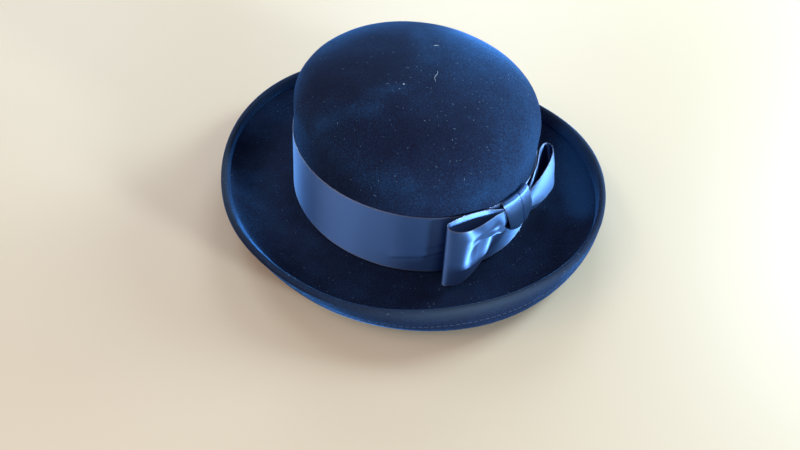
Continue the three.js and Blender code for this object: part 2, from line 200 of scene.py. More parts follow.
# Each loop of the bow, from its back layer at the knot, round its outer fold, to its front layer at
# the knot. "along" is the distance from the bow's middle. Each rail has a distance out from the
# crown's wall and a height: the top edge, the roll under it, the lip of the pleat, the tuck behind
# the lip and the low edge. "pull" draws the part under the lip back along the loop, and "dip" sinks
# the part between the roll and the lip.
RAILS = ("top", "roll", "lip", "tuck", "low")
LOOP_COLUMNS = ("along", "pull", "dip") + RAILS
LEFT_LOOP = [dict(zip(LOOP_COLUMNS, row)) for row in (
    (1.6, 0, 0, (3.6, 46), (3.6, 43), (3.6, 39.5), (3.6, 37), (3.6, 32)),
    (14, 0, 0, (3.7, 48.6), (3.7, 43.5), (3.7, 39), (3.7, 36), (3.7, 30.8)),
    (23, 0, 0, (2.8, 51.2), (2.8, 44.5), (2.8, 38), (2.8, 32), (2.8, 19)),
    (30, 0, 0, (2.1, 51.7), (2.1, 44), (2.1, 36), (2.1, 29), (2.2, 13)),
    (36, 0, 0, (2.2, 51.8), (2.2, 43), (2.2, 35), (2.2, 27), (2.6, 9)),
    (42, 0, 0, (3.1, 51.6), (3.1, 43), (3.2, 34.5), (3.3, 26), (4.2, 7.4)),
    (47.5, 0, 0, (4.6, 51.1), (4.8, 42.5), (5.0, 34), (5.4, 25), (6.8, 6.4)),
    (52.3, 0, 0, (7.2, 50.5), (7.8, 42.5), (8.4, 34), (9.2, 25), (10.6, 5.5)),
    (52, 0, 0, (11.5, 50.1), (12.1, 42.5), (12.7, 34), (13.3, 25), (14.0, 5.5)),
    (48, 0, 0, (13.7, 49.5), (14.6, 42), (15.2, 33), (15.5, 24), (15.1, 6.2)),
    (44.5, 0, 0, (14.0, 49.3), (15.7, 42), (16.1, 33), (16.2, 24), (15.6, 6.9)),
    (42, 0, 0, (13.9, 49.3), (15.8, 42.6), (15.9, 34), (15.8, 25), (15.2, 8.1)),
    (39.5, 0, 0, (13.4, 49.4), (15.5, 43.4), (15.4, 36.2), (15.0, 29.5), (14.3, 9.5)),
    (37, 0, 0.2, (12.5, 49.4), (14.8, 44.4), (14.6, 38.6), (13.9, 35.0), (13.1, 10.8)),
    (34, 0, 0.8, (11.4, 49.3), (14.0, 45), (13.9, 39.6), (12.2, 38.2), (11.6, 12.3)),
    (31, 0.5, 0.9, (10.2, 49.2), (13.0, 45), (12.9, 39), (10.5, 38.6), (9.8, 14.0)),
    (28, 1.2, 0.7, (9.0, 49), (11.9, 44.8), (12.0, 38.2), (9.0, 38.2), (8.1, 16.3)),
    (24.5, 2.0, 0.4, (7.8, 48.8), (10.7, 44.4), (10.9, 37.2), (7.4, 37.6), (6.3, 20.6)),
    (21.5, 2.2, 0.2, (6.9, 48.6), (9.8, 44), (10.2, 36.4), (6.4, 37.2), (5.2, 27.5)),
    (19, 2.0, 0.1, (6.3, 48.3), (9.2, 43.8), (9.7, 35.7), (5.9, 37.0), (4.9, 32.6)),
    (16, 1.0, 0.1, (5.9, 47.8), (8.8, 43.4), (9.4, 35.0), (5.8, 36.8), (4.9, 33.6)),
    (14.2, 0.4, 0, (5.6, 47.4), (8.2, 43.2), (8.7, 35.0), (5.7, 36.8), (4.9, 34)),
    (13.2, 0, 0, (5.3, 47.1), (6.5, 43.1), (6.8, 35.6), (5.4, 36.8), (4.9, 34)),
    (11, 0, 0, (4.6, 46.4), (5.5, 42.6), (5.6, 38), (5.2, 37), (4.9, 34)),
    (1.6, 0, 0, (4.6, 46), (5.5, 42.6), (5.6, 39), (5.2, 38), (4.9, 33)),
)]
RIGHT_LOOP = [dict(zip(LOOP_COLUMNS, row)) for row in (
    (1.6, 0, 0, (3.6, 46), (3.6, 42), (3.6, 38), (3.6, 36), (3.6, 32)),
    (15, 0, 0, (3.4, 47), (3.4, 43), (3.4, 38), (3.4, 35), (3.4, 30.5)),
    (27, 0, 0, (2.4, 51.6), (2.4, 42), (2.5, 34), (2.6, 28), (2.8, 19)),
    (42, 0, 0, (2.1, 51.8), (2.2, 40), (2.6, 29), (3.0, 22), (4.0, 9.5)),
    (57, 1.5, 0, (2.5, 51.2), (4.0, 39), (5.6, 26), (6.5, 18), (9.0, 7)),
    (67, 3.5, 0, (6.0, 50.5), (8.2, 39), (11, 26), (12.4, 18), (14.4, 7)),
    (67.5, 3.5, 0, (10.6, 50.5), (13.6, 38), (17.2, 22), (16.6, 17.5), (15.6, 8)),
    (61, 1.5, 0, (12.4, 50.4), (15.4, 38), (18.0, 19.5), (16.2, 20), (14.6, 9.5)),
    (50, 0, 0, (10.4, 50), (12.6, 38), (13.8, 21.5), (11.6, 22.5), (10.4, 13.5)),
    (38, 0, 0, (8.2, 49.5), (9.8, 39), (10.6, 25), (8.6, 26.5), (7.9, 18)),
    (26, 0, 0, (6.2, 48.8), (7.8, 40), (8.4, 29.5), (6.6, 31), (6.2, 23.5)),
    (15, 0, 0, (4.9, 47), (6.0, 41), (6.6, 34.5), (5.6, 36), (5.4, 31)),
    (1.6, 0, 0, (4.8, 46), (5.5, 42), (5.6, 38), (5.4, 37), (5.2, 33)),
)]

# How finely a ribbon is drawn: points along each row of a table, and across a loop from rail to rail.
STEPS_ALONG = 8
STEPS_ACROSS = (8, 5, 5, 6, 14)

# The front of a loop is softened along its length by so many passes, from some rows after its outer
# fold until so near the bow's middle.
SOFTENING = 24
EASE_IN = 16
FIRM_END = 16.0
EASE_OUT = 4.0

# The ribbon wrapped round the bow's middle: sections of the sleeve from left to right. A section's
# low and high ends lie at their own places along the bow. Its front leans back as it rises. The
# step between the fifth and sixth sections is one edge of the ribbon, which laps over the other.
KNOT_COLUMNS = ("low_along", "high_along", "back", "front", "low", "high")
KNOT = [dict(zip(KNOT_COLUMNS, row)) for row in (
    (-6.0, -12.5, 1.3, 8.6, 29.0, 50.8),
    (-4.5, -10.0, 1.2, 9.6, 27.8, 51.8),
    (-1.0, -5.0, 1.2, 10.4, 26.8, 52.4),
    (3.0, -1.0, 1.2, 10.5, 26.4, 52.6),
    (6.4, 2.0, 1.2, 9.6, 26.6, 52.4),
    (7.0, 2.7, 1.2, 10.5, 27.4, 52.9),
    (9.5, 6.5, 1.2, 10.6, 29.0, 53.6),
    (12.5, 10.0, 1.2, 10.2, 32.0, 54.0),
    (15.0, 12.5, 1.2, 9.2, 36.0, 54.0),
)]
KNOT_LEAN = 0.42
# How far out and up each corner of a section is rounded: top front, top back, low back, low front.
KNOT_CORNERS = ((6.2, 14.0), (1.2, 1.2), (1.2, 1.2), (4.5, 6.0))
CORNER_POINTS = 11

# The camera: its place from the middle of the head oval, its tilt, its turn and its lens.
CAMERA_PLACE = Vector((-117.8, -373.1, 309.4))
CAMERA_PITCH = 42.217
CAMERA_TURN = -16.81
CAMERA_ROLL = 4.38
CAMERA_LENS = 28.97

# The soft windows round the room. Each has an azimuth clockwise from +Y and an elevation in degrees, a
# distance and a size in metres, and a power in watts. All are aimed at one height on the hat.
AIM_HEIGHT = 0.04
WINDOW_COLUMNS = ("name", "azimuth", "elevation", "distance", "size", "power", "colour")
WINDOWS = [dict(zip(WINDOW_COLUMNS, row)) for row in (
    ("window_left", -88, 42, 1.7, (1.2, 0.7), 13, (1.0, 0.92, 0.84)),
    ("window_front_left", -130, 42, 1.7, (0.6, 0.6), 4, (1.0, 0.92, 0.84)),
    ("window_back_left", -25, 32, 1.7, (0.6, 0.6), 12, (0.62, 0.90, 1.0)),
    ("window_back", 20, 30, 1.9, (0.9, 0.5), 22, (0.66, 0.88, 1.0)),
    ("window_back_right", 76, 27, 1.6, (0.5, 0.6), 40, (0.60, 0.90, 1.0)),
    ("window_front_right", 146, 8, 1.6, (0.24, 0.24), 60, (0.68, 0.91, 1.0)),
)]
ROOM_COLOUR = (0.94, 0.90, 1.0, 1)
ROOM_STRENGTH = 0.40
FLOOR_HALF_SIZE = 4.0
FLOOR_COLOUR = (0.46, 0.34, 0.25, 1)

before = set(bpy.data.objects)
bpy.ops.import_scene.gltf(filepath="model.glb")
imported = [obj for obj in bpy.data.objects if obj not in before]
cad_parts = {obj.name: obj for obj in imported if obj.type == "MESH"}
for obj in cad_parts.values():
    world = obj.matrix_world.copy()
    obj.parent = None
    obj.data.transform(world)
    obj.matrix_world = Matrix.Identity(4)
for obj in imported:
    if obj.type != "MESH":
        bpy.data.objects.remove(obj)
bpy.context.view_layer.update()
BAND_LOW, BAND_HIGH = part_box("ribbon_band")
HEAD_X = (BAND_LOW.x + BAND_HIGH.x) / 2
HEAD_Y = (BAND_LOW.y + BAND_HIGH.y) / 2
HEAD_CENTRE = np.array([HEAD_X, HEAD_Y, 0.0])

random.seed(7)


def oval(angle):
    """Points of the head oval at angles in degrees, and the directions straight out of it."""
    turn = np.radians(angle)
    point = np.stack([HEAD_HALF_WIDTH * np.sin(turn), -HEAD_HALF_LENGTH * np.cos(turn)], -1)
    out = np.stack([np.sin(turn) / HEAD_HALF_WIDTH, -np.cos(turn) / HEAD_HALF_LENGTH], -1)
    return point, out / np.linalg.norm(out, axis=-1, keepdims=True)


def place(angle, shrink, offset, height):
    """Points from an angle, a scale of the oval, an offset out of it and a height, in millimetres."""
    angle, shrink, offset, height = np.broadcast_arrays(angle, shrink, offset, height)
    point, out = oval(angle)
    flat = point * shrink[..., None] + out * offset[..., None]
    return np.concatenate([flat, height[..., None]], -1)


def wall_shrink(height):
    return 1 - WALL_TAPER * np.asarray(height, float) / WALL_TOP


def on_wall(angle, offset, height):
    return place(angle, wall_shrink(height), offset, height)


def angle_along(along):
    """The angles that lie the given lengths of oval away from the bow's middle."""
    along = np.asarray(along, float)
    turn = np.full(along.shape, math.radians(BOW_ANGLE))
    for _ in range(ANGLE_STEPS):
        pace = np.hypot(HEAD_HALF_WIDTH * np.cos(turn), HEAD_HALF_LENGTH * np.sin(turn))
        turn = turn + along / ANGLE_STEPS / pace
    return np.degrees(turn)


def around(table, column, angle):
    """A smooth value at any angle from a column of a table whose rows are evenly spaced."""
    values = np.array([row[column] for row in table], float)
    spot = np.asarray(angle) / 360 * len(values)
    first = np.floor(spot).astype(int)
    u = spot - first
    a, b, c, d = (values[(first + k) % len(values)] for k in (-1, 0, 1, 2))
    return b + 0.5 * u * (c - a + u * (2 * a - 5 * b + 4 * c - d + u * (3 * (b - c) + d - a)))


def through(points, steps):
    """A smooth row of points through the given ones, with "steps" points from each to the next."""
    points = np.asarray(points, float)
    padded = np.concatenate([2 * points[:1] - points[1:2], points, 2 * points[-1:] - points[-2:-1]])
    made = []
    for i in range(len(points) - 1):
        a, b, c, d = padded[i:i + 4]
        for u in np.arange(steps) / steps:
            made.append(b + 0.5 * u * (c - a + u * (2 * a - 5 * b + 4 * c - d + u * (3 * (b - c) + d - a))))
    made.append(points[-1])
    return np.array(made)


def unevenness(points, size, amount):
    """A smooth random height for each point, with bumps of the given size."""
    spots = points.reshape(-1, 3) / size
    heights = np.array([noise.noise(Vector(spot)) for spot in spots])
    return (heights * amount).reshape(points.shape[:-1])


def dent_depth(points):
    depth = np.zeros(points.shape[:-1])
    for dent in DENTS:
        middle = np.array([dent["x"], dent["y"], dent["z"]], float)
        away = np.linalg.norm(points - middle, axis=-1) / dent["spread"]
        depth += dent["depth"] * np.exp(-away ** 2)
    return depth


def nap_and_painted_light_tone(points):
    """How far each point is made light or dark, about 0: partly brushed pile, partly painted light and
    shade.
    """
    tone = np.zeros(points.shape[:-1])
    for stroke in NAP_AND_PAINTED_LIGHT_STROKES:
        start, end = np.array(stroke["from"], float), np.array(stroke["to"], float)
        way = end - start
        share = np.clip(((points - start) @ way) / (way @ way), 0, 1)
        away = np.linalg.norm(points - start - share[..., None] * way, axis=-1)
        tone += stroke["tone"] * np.exp(-(away / stroke["width"]) ** 2)
    return tone


def edge_painted_light(points):
    """How pale the felt is painted at each point as bounce light from the floor: most along the brim's
    edge.
    """
    angle = np.degrees(np.arctan2(points[:, 0] / HEAD_HALF_WIDTH, -points[:, 1] / HEAD_HALF_LENGTH))
    edge = place(angle, 1, around(BRIM, "reach", angle), around(BRIM, "height", angle))
    away = np.linalg.norm(points - edge, axis=-1)
    return EDGE_PAINTED_LIGHT * np.exp(-(away / EDGE_PAINTED_LIGHT_REACH) ** 2)


def crown_rows(angle, depth):
    """Rows of the crown from near its tip down to its foot, "depth" inside the outer surface."""
    top_shrink = wall_shrink(WALL_TOP)
    rise = CROWN_HEIGHT - WALL_TOP
    reach = np.linalg.norm(oval(angle)[0], axis=-1) * top_shrink
    rows = []
    for turn in np.radians(90 * (1 - np.arange(1, DOME_ROWS) / DOME_ROWS)):
        height = WALL_TOP + rise * math.sin(turn)
        lean = np.arctan2(reach * math.sin(turn), rise * math.cos(turn))
        shrink = top_shrink * math.cos(turn)
        outer = place(angle, shrink, 0, height)
        sink = depth + dent_depth(outer) + unevenness(outer, UNEVEN_SIZE, UNEVEN_DEPTH)
        rows.append(place(angle, shrink, -sink * np.cos(lean), height - sink * np.sin(lean)))
    for height in np.linspace(WALL_TOP, FOOT_RADIUS + FELT, WALL_ROWS):
        outer = on_wall(angle, 0, height)
        calm = min(1, max(0, (height - RIBBON_FOOT - RIBBON_WIDTH) / CALM_REACH))
        sink = depth + dent_depth(outer) + calm * unevenness(outer, UNEVEN_SIZE, UNEVEN_DEPTH)
        rows.append(on_wall(angle, -sink, height))
    return rows


def foot_rows(angle, depth):
    radius = FOOT_RADIUS + depth
    turns = np.radians(np.linspace(0, 90, FOOT_ROWS + 1)[1:])
    return [place(angle, 1, FOOT_RADIUS - radius * math.cos(t), FOOT_RADIUS + FELT - radius * math.sin(t))
            for t in turns]


class BrimRoll:
    """The under-side of the brim at each angle, from the resting ring to the edge, as Bezier curves."""

    def __init__(self, angle):
        self.angle = angle
        reach = around(BRIM, "reach", angle)
        height = around(BRIM, "height", angle) - FELT
        belly = around(BRIM, "belly", angle)
        level = np.zeros_like(reach)
        self.out = [level + REST_REACH, belly, belly + BELLY_BULGE, reach]
        self.up = [level, level, height * BELLY_HEIGHT, height]
        shares = np.linspace(0, 1, ROLL_SAMPLES)[:, None]
        out, up = self.point(shares)
        lengths = np.hypot(np.diff(out, axis=0), np.diff(up, axis=0))
        from_edge = np.cumsum(lengths[::-1], axis=0)
        from_edge = np.concatenate([np.zeros((1, len(angle))), from_edge])
        self.hem = np.array([np.interp(HEM_DEPTH, from_edge[:, i], 1 - shares[:, 0])
                             for i in range(len(angle))])

    def point(self, share):
        weights = [(1 - share) ** 3, 3 * share * (1 - share) ** 2, 3 * share ** 2 * (1 - share), share ** 3]
        return (sum(w * c for w, c in zip(weights, self.out)), sum(w * c for w, c in zip(weights, self.up)))

    def tangent(self, share):
        weights = [(1 - share) ** 2, 2 * share * (1 - share), share ** 2]
        out = sum(w * (b - a) for w, a, b in zip(weights, self.out, self.out[1:]))
        up = sum(w * (b - a) for w, a, b in zip(weights, self.up, self.up[1:]))
        length = np.hypot(out, up)
        return out / length, up / length

    def row(self, share, lift, rise=0.0):
        """Points at a share of the way to the edge, lifted into the felt and moved on along the roll."""
        share = np.broadcast_to(share, self.angle.shape)
        out, up = self.point(share)
        tangent_out, tangent_up = self.tangent(share)
        return place(
            self.angle, 1,
            out - lift * tangent_up + rise * tangent_out,
            up + lift * tangent_out + rise * tangent_up,
        )


def brim_rows(angle):
    """Up along the brim's inner face, over its folded edge and down its outer face."""
    roll = BrimRoll(angle)
    inner = [roll.row(roll.hem * i / BRIM_ROWS, FELT) for i in range(BRIM_ROWS)]
    for sink, rise in SEAM_GROOVE:
        inner.append(roll.row(roll.hem, FELT - sink, rise))
    for lift, rise in FOLD_STEP:
        inner.append(roll.row(roll.hem, FELT * (1 + lift), rise))
    fold = []
    for i in range(2, FOLD_ROWS):
        share = roll.hem + (1 - roll.hem) * i / FOLD_ROWS
        puff = FOLD_PUFF * math.sin(math.pi * i / FOLD_ROWS)
        fold.append(roll.row(share, 2 * FELT + puff))
    for turn in np.radians(np.linspace(0, 180, EDGE_ROWS)):
        fold.append(roll.row(1.0, FELT * (1 + math.cos(turn)), FELT * math.sin(turn)))
    outer = []
    for i in range(1, FOLD_ROWS + 1):
        share = 1 - (1 - roll.hem) * i / FOLD_ROWS
        seam = math.exp(-((i - FOLD_ROWS + SEAM_SHIFT) / SEAM_WIDTH) ** 2)
        outer.append(roll.row(share, SEAM_DEPTH * seam))
    outer += [roll.row(roll.hem * (1 - i / BRIM_ROWS), 0.0) for i in range(1, BRIM_ROWS)]
    return inner + fold + outer


def make_mesh(name, points, faces, smooth=True):
    """A mesh object from points in millimetres round the head oval's middle."""
    mesh = bpy.data.meshes.new(name)
    spots = np.asarray(points, float) * MM + HEAD_CENTRE
    mesh.from_pydata([tuple(p) for p in spots], [], [tuple(int(i) for i in f) for f in faces])
    mesh.validate()
    for polygon in mesh.polygons:
        polygon.use_smooth = smooth
    made = bpy.data.objects.new(name, mesh)
    bpy.context.scene.collection.objects.link(made)
    return made


def ring_faces(rows, around_count, closed):
    """Quads between neighbouring rows that each go all the way round."""
    faces = []
    last = rows if closed else rows - 1
    for i in range(last):
        for j in range(around_count):
            a = i * around_count + j
            b = i * around_count + (j + 1) % around_count
            c = ((i + 1) % rows) * around_count + (j + 1) % around_count
            d = ((i + 1) % rows) * around_count + j
            faces.append((a, d, c, b))
    return faces


def felt_body(material):
    angle = np.arange(0, 360, COLUMN_STEP)
    upper = crown_rows(angle, 0.0) + foot_rows(angle, 0.0)
    under = crown_rows(angle, FELT) + foot_rows(angle, FELT)
    rows = upper + brim_rows(angle) + under[::-1]
    count = len(angle)
    faces = ring_faces(len(rows), count, False)
    tip = np.array([[0, 0, CROWN_HEIGHT]])
    tip[0, 2] -= dent_depth(tip)[0]
    points = np.concatenate(rows + [tip, tip - [0, 0, FELT]])
    first_tip = len(rows) * count
    last_row = (len(rows) - 1) * count
    for j in range(count):
        faces.append((first_tip, j, (j + 1) % count))
        faces.append((first_tip + 1, last_row + (j + 1) % count, last_row + j))
    made = make_mesh("felt_hat", points, faces)
    made.data.materials.append(material)
    # Strokes of painted light and shade, partly brushed pile, that move the felt's colour.
    tone = made.data.attributes.new("nap_and_painted_light", "FLOAT", "POINT")
    tone.data.foreach_set("value", nap_and_painted_light_tone(points).astype(np.float32))
    # Paler felt along the brim's edge: painted bounce light from the floor.
    edge_bounce_light = made.data.attributes.new("edge_bounce_light", "FLOAT", "POINT")
    edge_bounce_light.data.foreach_set("value", edge_painted_light(points).astype(np.float32))
    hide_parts("felt_body")
    return made


def sheet_solid(name, middle, thickness, closed):
    """A ribbon: a grid of middle points [along, across] thickened both ways, with even edges and UVs
    in metres along and a share across."""
    count, lanes = middle.shape[:2]
    onward = np.gradient(middle, axis=0)
    if closed:
        onward = (np.roll(middle, -1, 0) - np.roll(middle, 1, 0)) / 2
    across = np.gradient(middle, axis=1)
    normal = np.cross(onward, across)
    normal /= np.linalg.norm(normal, axis=-1, keepdims=True) + 1e-9
    reach = np.cumsum(np.linalg.norm(np.diff(middle, axis=1), axis=-1), axis=1)
    share = np.concatenate([np.zeros((count, 1)), reach / reach[:, -1:]], axis=1)
    front = middle + normal * thickness / 2
    back = middle - normal * thickness / 2
    section = np.concatenate([front, back[:, ::-1]], axis=1)
    width = section.shape[1]
    points = section.reshape(-1, 3)
    step = np.linalg.norm(np.diff(middle[:, lanes // 2], axis=0), axis=-1)
    travel = np.concatenate([[0], np.cumsum(step)]) * MM
    if closed:
        travel = np.append(travel, travel[-1] + step.mean() * MM)
    shares = np.concatenate([share, share[:, ::-1]], axis=1)
    faces, uvs = [], []
    last = count if closed else count - 1
    for i in range(last):
        n = (i + 1) % count
        for j in range(width):
            k = (j + 1) % width
            faces.append((i * width + j, n * width + j, n * width + k, i * width + k))
            uvs += [(travel[i], shares[i, j]), (travel[i + 1], shares[n, j]),
                    (travel[i + 1], shares[n, k]), (travel[i], shares[i, k])]
    if not closed:
        for i, order in ((0, 1), (count - 1, -1)):
            for j in range(lanes - 1):
                front_corner, back_corner = i * width + j, i * width + width - 1 - j
                face = (front_corner, front_corner + 1, back_corner - 1, back_corner)
                faces.append(face[::order])
                ends = [(travel[i], share[i, j]), (travel[i], share[i, j + 1]),
                        (travel[i], share[i, j + 1]), (travel[i], share[i, j])]
                uvs += ends[::order]
    made = make_mesh(name, points, faces)
    layer = made.data.uv_layers.new(name="ribbon")
    for loop, uv in zip(layer.data, uvs):
        loop.uv = uv
    turn_outwards(made)
    return made


def turn_outwards(made):
    """Turns a closed mesh's faces outwards if its signed volume is negative."""
    mesh = made.data
    mesh.calc_loop_triangles()
    spots = [v.co for v in mesh.vertices]
    volume = sum(spots[t.vertices[0]].dot(spots[t.vertices[1]].cross(spots[t.vertices[2]]))
                 for t in mesh.loop_triangles)
    if volume < 0:
        mesh.flip_normals()


def pleat_lift(angle, share):
    """How far the band stands out at a pleat: the upper ribbon laps over the lower one."""
    from_front = (angle + 180) % 360 - 180
    lift = np.zeros(np.broadcast(angle, share).shape)
    for pleat in PLEATS:
        spot = (from_front - pleat["start"]) / (pleat["end"] - pleat["start"])
        fade = np.sin(np.pi * np.clip(spot, 0, 1)) ** PLEAT_FADE
        line = pleat["from"] + (pleat["to"] - pleat["from"]) * spot
        above = share - line
        edge = 1 / (1 + np.exp(-above / (PLEAT_STEP * pleat["width"])))
        lift += pleat["lap"] * fade * edge * np.exp(-np.clip(above, 0, None) / PLEAT_FALL)
        below = (above + PLEAT_DRAW_REACH) / PLEAT_DRAW_REACH
        lift -= PLEAT_DRAW_IN * pleat["lap"] * fade * np.exp(-below ** 2)
    return lift


def ribbon_band(material):
    angle = np.arange(0, 360, BAND_COLUMN_STEP)[:, None]
    share = np.linspace(0, 1, BAND_LANES)[None]
    height = RIBBON_FOOT + RIBBON_WIDTH * share + 0 * angle
    wall = on_wall(angle, 0.0, height)
    ripple = BAND_RIPPLE * unevenness(wall, BAND_RIPPLE_SIZE, 1.0)
    offset = BAND_STAND_OFF + pleat_lift(angle, share) + ripple
    middle = on_wall(angle, offset, height)
    made = sheet_solid("satin_band", middle[:, ::-1], RIBBON_THICKNESS, True)
    made.data.materials.append(material)
    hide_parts("ribbon_band")
    return made


def folded(points, steps):
    """A row of points that rounds each corner tightly, with its own number of steps to each part."""
    points = np.asarray(points, float)
    legs = np.diff(points, axis=0)
    lengths = np.linalg.norm(legs, axis=1)
    ways = legs / lengths[:, None]
    turns = np.concatenate([ways[:1], ways[:-1] + ways[1:], ways[-1:]])
    turns /= np.linalg.norm(turns, axis=1, keepdims=True) + 1e-9
    made = []
    for i, count in enumerate(steps):
        before = lengths[max(i - 1, 0)]
        after = lengths[min(i + 1, len(lengths) - 1)]
        pull_in = turns[i] * min(lengths[i], before)
        pull_out = turns[i + 1] * min(lengths[i], after)
        for u in np.arange(count) / count:
            made.append(
                points[i] * (2 * u ** 3 - 3 * u ** 2 + 1) + pull_in * (u ** 3 - 2 * u ** 2 + u)
                + points[i + 1] * (3 * u ** 2 - 2 * u ** 3) + pull_out * (u ** 3 - u ** 2)
            )
    made.append(points[-1])
    return np.array(made)



def loop_middle(table, side):
    """The middle surface of a loop: smooth along its rails, and folded across from rail to rail."""
    rails = []
    for rail in RAILS:
        drawn = 1.0 if rail in ("tuck", "low") else 0.0
        rails.append(through([(row["along"] - drawn * row["pull"], *row[rail]) for row in table],
                             STEPS_ALONG))
        if rail == "roll":
            middle = [(row["along"], (row["roll"][0] + row["lip"][0]) / 2 - row["dip"],
                       (row["roll"][1] + row["lip"][1]) / 2) for row in table]
            rails.append(through(middle, STEPS_ALONG))
    lanes = np.stack(rails, axis=1)
    grid = np.stack([folded(section, STEPS_ACROSS) for section in lanes])
    fold = int(np.argmax(grid[:, 0, 0]))
    length = len(grid)
    since_fold = (np.arange(length) - fold) / EASE_IN
    eased = np.clip(since_fold, 0, 1) * np.clip((grid[:, 0, 0] - FIRM_END) / EASE_OUT, 0, 1)
    soft = grid.copy()
    for _ in range(SOFTENING):
        soft[1:-1] = (soft[:-2] + 2 * soft[1:-1] + soft[2:]) / 4
    grid += (soft - grid) * eased[:, None, None]
    return on_wall(angle_along(side * grid[..., 0]), grid[..., 1], grid[..., 2])


def bow_loop(name, node, table, side, material):
    made = sheet_solid(name, loop_middle(table, side), RIBBON_THICKNESS, False)
    made.data.materials.append(material)
    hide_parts(node)
    return made


def knot_section(row, inset):
    """The knot's outline at one section: wall offsets and heights round a box with round corners."""
    low_out, high_out = row["back"] + inset, row["front"] - inset
    low_up, high_up = row["low"] + inset, row["high"] - inset
    corners = ((high_out, high_up), (low_out, high_up), (low_out, low_up), (high_out, low_up))
    inward = ((-1, -1), (1, -1), (1, 1), (-1, 1))
    made = []
    rounded = zip(corners, inward, KNOT_CORNERS)
    for quarter, ((out, up), (side_out, side_up), (wide, tall)) in enumerate(rounded):
        for turn in np.radians(90 * quarter + np.linspace(0, 90, CORNER_POINTS)):
            made.append((out + side_out * wide + wide * math.cos(turn),
                         up + side_up * tall + tall * math.sin(turn)))
    return np.array(made)


def bow_knot(material):
    spots = []
    for row in KNOT:
        section = knot_section(row, RIBBON_THICKNESS / 2)
        share = (section[:, 1] - row["low"]) / (row["high"] - row["low"])
        along = row["low_along"] + (row["high_along"] - row["low_along"]) * share
        leaning = section[:, 0] - KNOT_LEAN * share * (section[:, 0] - row["back"])
        spots.append(np.column_stack([along, leaning, section[:, 1]]))
    grid = through(np.array(spots), STEPS_ALONG)
    middle = on_wall(angle_along(grid[..., 0]), grid[..., 1], grid[..., 2])
    made = sheet_solid("satin_knot", middle.transpose(1, 0, 2), RIBBON_THICKNESS, True)
    made.data.materials.append(material)
    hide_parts("bow_knot")
    return made


def rod(start, end, thickness, normal):
    """The corners of a thin square rod between two points."""
    way = (end - start) / (np.linalg.norm(end - start) + 1e-9)
    side = np.cross(way, normal)
    side /= np.linalg.norm(side) + 1e-9
    up = np.cross(side, way)
    half = thickness / 2
    square = ((-1, -1), (1, -1), (1, 1), (-1, 1))
    return [spot + half * (a * side + b * up) for spot in (start, end) for a, b in square]


def rods(name, corners):
    """One mesh of rods from their corners, eight for each."""
    faces = []
    for first in range(0, len(corners), 8):
        for face in ROD_FACES:
            faces.append(tuple(first + i for i in face))
    return make_mesh(name, corners, faces, smooth=False)


def hem_stitches(material):
    """The stitches that hold the brim's folded edge, on its outer face."""
    middle = np.linspace(0, 360, STITCHES, endpoint=False)
    half = 180 / STITCHES * STITCH_SHARE
    start, mid, end = (BrimRoll(middle + turn) for turn in (-half, 0, half))
    first = start.row(start.hem, STITCH_SINK)
    last = end.row(end.hem, STITCH_SINK)
    inside = mid.row(mid.hem, FELT)
    corners = []
    for a, b, c in zip(first, last, inside):
        corners += rod(a, b, STITCH_THICKNESS, (a + b) / 2 - c)
    made = rods("hem_stitches", corners)
    made.data.materials.append(material)
    return made


def lint(felt, materials):
    """Specks and a few hairs caught on the pile, each kind with its own material."""
    mesh = felt.data
    spots = [(v.co / MM - Vector(HEAD_CENTRE) / MM) for v in mesh.vertices]
    polygons = [tuple(p.vertices) for p in mesh.polygons]
    tree = BVHTree.FromPolygons(spots, polygons)
    open_faces, weights = [], []
    for polygon in mesh.polygons:
        centre = Vector(np.mean([spots[i] for i in polygon.vertices], axis=0))
        if polygon.normal.z > (CROWN_SLOPE if centre.z > CROWN_SPECKS_ABOVE else BRIM_SLOPE):
            open_faces.append((centre, polygon.normal.copy()))
            weights.append(polygon.area * (SPECKS_RIGHT if centre.x - centre.y > 0 else SPECKS_LEFT))
    specks, hairs = [], []
    for centre, normal in random.choices(open_faces, weights, k=SPECKS):
        way = Vector([random.gauss(0, 1) for _ in range(3)]).cross(normal).normalized()
        reach = random.choice(SPECK_LENGTHS)
        start = centre + normal * SPECK_LIFT
        thickness = random.uniform(*SPECK_THICKNESSES)
        specks += rod(np.array(start), np.array(start + way * reach), thickness, np.array(normal))
    for hair in HAIRS:
        row = []
        for spot in through(hair["points"], HAIR_STEPS):
            place_on, normal, _, _ = tree.find_nearest(Vector(spot))
            row.append((np.array(place_on + normal * HAIR_LIFT), np.array(normal)))
        for (a, normal), (b, _) in zip(row, row[1:]):
            hairs += rod(a, b, hair["thickness"], normal)
    made = [rods("specks", specks), rods("hairs", hairs)]
    for piece, material in zip(made, materials):
        piece.data.materials.append(material)
    return made


def plain_material(name, colour, roughness):
    material, shader = new_material(name)
    shader.inputs["Base Color"].default_value = (*colour, 1)
    shader.inputs["Roughness"].default_value = roughness
    return material


def new_material(name):
    """A node material and its shader."""
    material = bpy.data.materials.new(name)
    material.use_nodes = True
    return material, material.node_tree.nodes["Principled BSDF"]


def add_node(material, kind, **inputs):
    node = material.node_tree.nodes.new(kind)
    for key, value in inputs.items():
        node.inputs[key.replace("_", " ")].default_value = value
    return node


